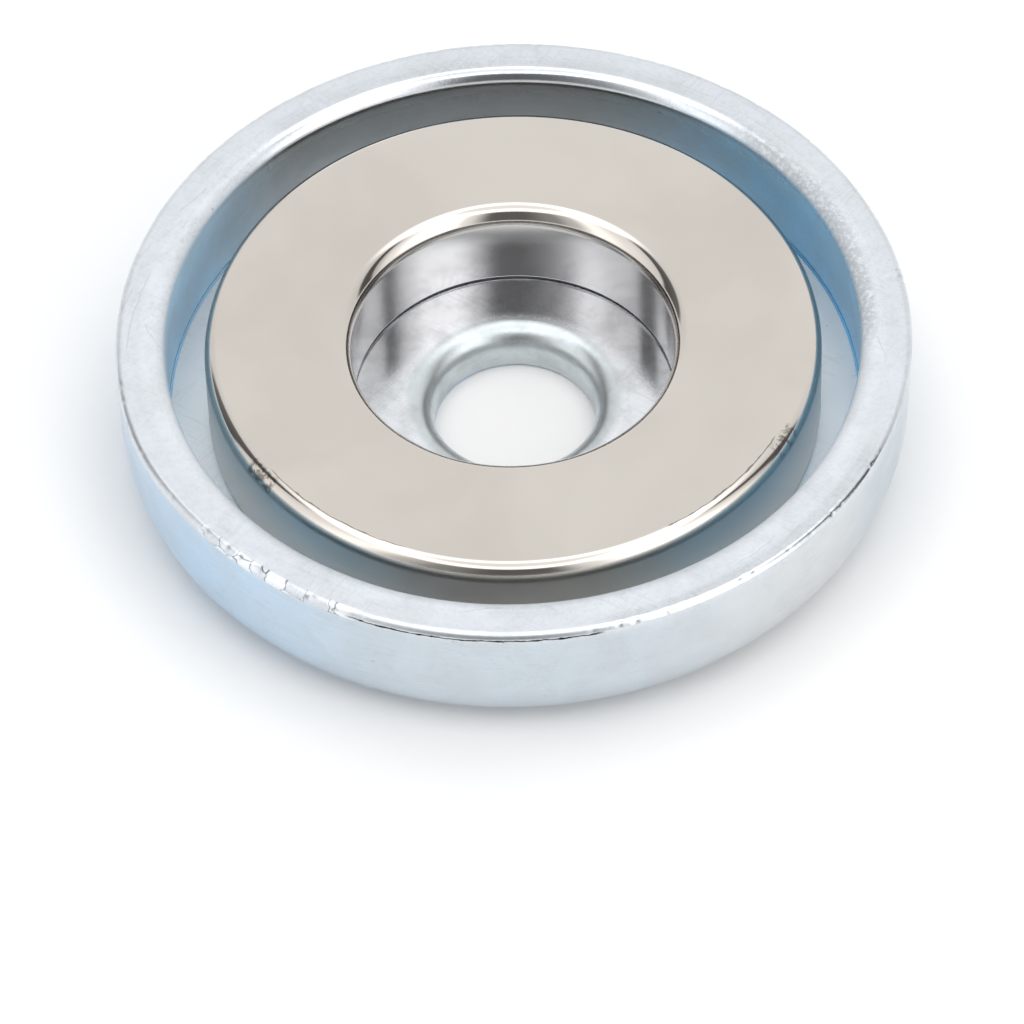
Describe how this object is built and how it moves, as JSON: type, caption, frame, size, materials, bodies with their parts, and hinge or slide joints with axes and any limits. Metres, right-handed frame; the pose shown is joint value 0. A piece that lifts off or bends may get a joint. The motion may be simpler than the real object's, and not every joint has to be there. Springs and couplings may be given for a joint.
{
  "type": "pot magnet",
  "caption": "Round steel cup with a ring magnet glued to its floor and a screw hole through the middle; it holds to steel by its open face.",
  "frame": {"origin": "centre of the base, on the surface that the cup stands on", "axes": "+Z along the screw hole's axis, out of the open magnet face; X and Y are any two directions across the round cup"},
  "size_m": [0.036, 0.036, 0.0068],
  "materials": {
    "zinc_plated_steel": "bright zinc plating, pale blue-white, smooth, with fine scratches and worn edges",
    "nickel_plated_magnet": "mirror-bright nickel plating, warm grey",
    "set_glue": "dark set glue, matt"
  },
  "bodies": {
    "root": {"steel_cup": "zinc_plated_steel", "ring_magnet": "nickel_plated_magnet", "adhesive_film": "set_glue"}
  },
  "joints": []
}
